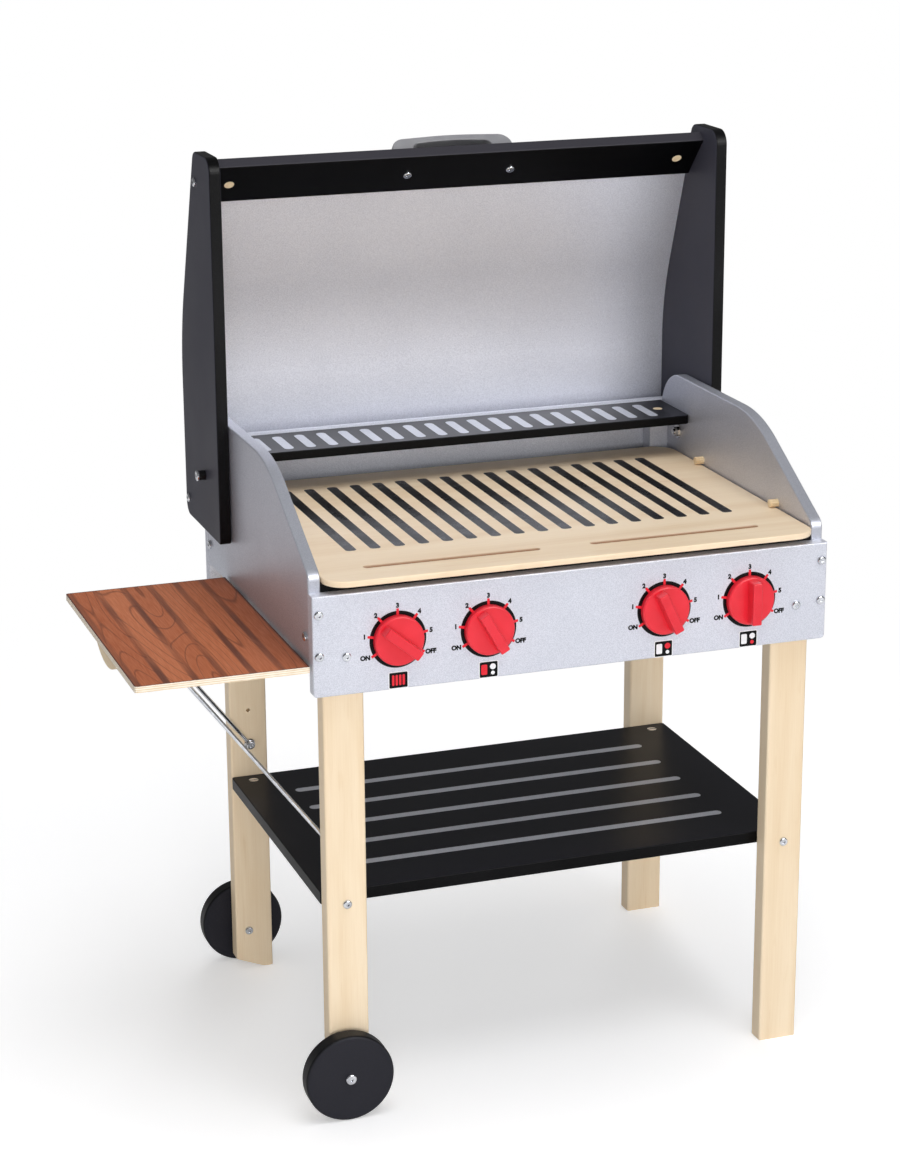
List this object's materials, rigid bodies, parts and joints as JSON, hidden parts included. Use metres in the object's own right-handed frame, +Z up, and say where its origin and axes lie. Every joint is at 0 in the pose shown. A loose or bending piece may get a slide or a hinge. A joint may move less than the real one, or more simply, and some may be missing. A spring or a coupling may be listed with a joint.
{
  "type": "toy barbecue grill",
  "caption": "Wooden toy barbecue on legs and wheels, with a hinged lid, turning dials, a lift-off grill plate, a storage shelf and a drop-down side shelf on a wire stay.",
  "frame": {"origin": "middle of the whole footprint, on the floor", "axes": "+Z up, +Y from the dial panel to the back, +X to the right as seen from the front"},
  "size_m": [0.7084, 0.4352, 0.888],
  "materials": {
    "birch_wood": "clear satin lacquer over pale birch",
    "maple_plate": "pale maple with a clear satin lacquer",
    "silver_paint": "silver metallic paint on wood",
    "black_paint": "glossy black paint on wood",
    "charcoal_paint": "satin charcoal paint on wood",
    "walnut_board": "dark walnut plank print on thin plywood",
    "red_plastic": "satin red",
    "grey_plastic": "satin grey",
    "black_plastic": "satin black",
    "zinc_steel": "zinc plated",
    "chrome_wire": "bright chrome"
  },
  "bodies": {
    "stand": {"front_panel": "silver_paint", "side_panel_left": "silver_paint", "side_panel_right": "silver_paint", "back_panel": "silver_paint", "leg_front_left": "birch_wood", "leg_front_right": "birch_wood", "leg_rear_left": "birch_wood", "leg_rear_right": "birch_wood", "lower_shelf": "black_paint", "barrel_nuts": "zinc_steel", "leg_bolts": "zinc_steel", "hob_board": "black_paint", "corner_post_left": "silver_paint", "corner_post_right": "silver_paint", "warming_shelf": "black_paint", "warming_shelf_plugs": "birch_wood", "warming_shelf_nuts": "zinc_steel", "warming_shelf_bolts": "zinc_steel", "plate_pegs": "birch_wood", "panel_screws": "zinc_steel", "side_screws": "zinc_steel", "back_screws": "zinc_steel", "wheel_spacers": "black_plastic", "axle_bolts": "zinc_steel", "axle_nuts": "zinc_steel", "lid_hinge_bushings": "black_plastic", "lid_hinge_bolts": "zinc_steel", "lid_hinge_washers": "zinc_steel", "lid_hinge_nuts": "zinc_steel", "shelf_hinge_fixed_leaves": "zinc_steel", "shelf_hinge_pins": "zinc_steel", "stay_screws": "zinc_steel"},
    "lid": {"lid_cheek_left": "charcoal_paint", "lid_cheek_right": "charcoal_paint", "lid_header": "black_paint", "lid_header_plugs": "birch_wood", "lid_header_nuts": "zinc_steel", "lid_skin": "black_paint", "lid_liner": "silver_paint", "lid_rail": "black_paint", "lid_screws": "zinc_steel", "lid_handle": "grey_plastic", "handle_screws": "zinc_steel"},
    "grill_plate": {"grill_plate": "maple_plate"},
    "wheel_front": {"wheel_front": "black_paint"},
    "wheel_rear": {"wheel_rear": "black_paint"},
    "side_shelf": {"side_shelf": "walnut_board", "shelf_grip_block": "birch_wood", "stay_cleat": "birch_wood", "shelf_hinge_moving_leaves": "zinc_steel"},
    "wire_stay": {"wire_stay": "chrome_wire"},
    "knob_1": {"knob_1": "red_plastic", "knob_screw_1": "zinc_steel"},
    "knob_2": {"knob_2": "red_plastic", "knob_screw_2": "zinc_steel"},
    "knob_3": {"knob_3": "red_plastic", "knob_screw_3": "zinc_steel"},
    "knob_4": {"knob_4": "red_plastic", "knob_screw_4": "zinc_steel"}
  },
  "joints": [
    {"name": "lid_hinge", "type": "hinge", "parent": "stand", "child": "lid", "pos_m": [0.0718, 0.13465, 0.562], "axis": [1, 0, 0], "range_deg": [0, 88.5]},
    {"name": "plate_slide", "type": "slide", "parent": "stand", "child": "grill_plate", "axis": [0, -1, 0], "range_m": [0, 0.25]},
    {"name": "wheel_front_spin", "type": "hinge", "parent": "stand", "child": "wheel_front", "pos_m": [-0.1622, -0.19735, 0.044], "axis": [0, 1, 0], "continuous": true},
    {"name": "wheel_rear_spin", "type": "hinge", "parent": "stand", "child": "wheel_rear", "pos_m": [-0.1622, 0.18265, 0.044], "axis": [0, 1, 0], "continuous": true},
    {"name": "side_shelf_fold", "type": "hinge", "parent": "stand", "child": "side_shelf", "pos_m": [-0.1892, -0.14835, 0.4513], "axis": [0, -1, 0], "range_deg": [0, 90]},
    {"name": "stay_swing", "type": "hinge", "parent": "stand", "child": "wire_stay", "pos_m": [-0.1562, -0.16305, 0.258], "axis": [0, -1, 0], "range_deg": [0, 109]},
    {"name": "knob_1_turn", "type": "hinge", "parent": "stand", "child": "knob_1", "pos_m": [-0.1062, -0.19735, 0.4785], "axis": [0, -1, 0], "range_deg": [-170, 70]},
    {"name": "knob_2_turn", "type": "hinge", "parent": "stand", "child": "knob_2", "pos_m": [-0.0172, -0.19735, 0.4785], "axis": [0, -1, 0], "range_deg": [-150, 90]},
    {"name": "knob_3_turn", "type": "hinge", "parent": "stand", "child": "knob_3", "pos_m": [0.1608, -0.19735, 0.4785], "axis": [0, -1, 0], "range_deg": [-145, 95]},
    {"name": "knob_4_turn", "type": "hinge", "parent": "stand", "child": "knob_4", "pos_m": [0.2498, -0.19735, 0.4785], "axis": [0, -1, 0], "range_deg": [-120, 120]}
  ],
  "couplings": [
    {"joint": "stay_swing", "follows": "side_shelf_fold", "ratio": 1.21}
  ]
}
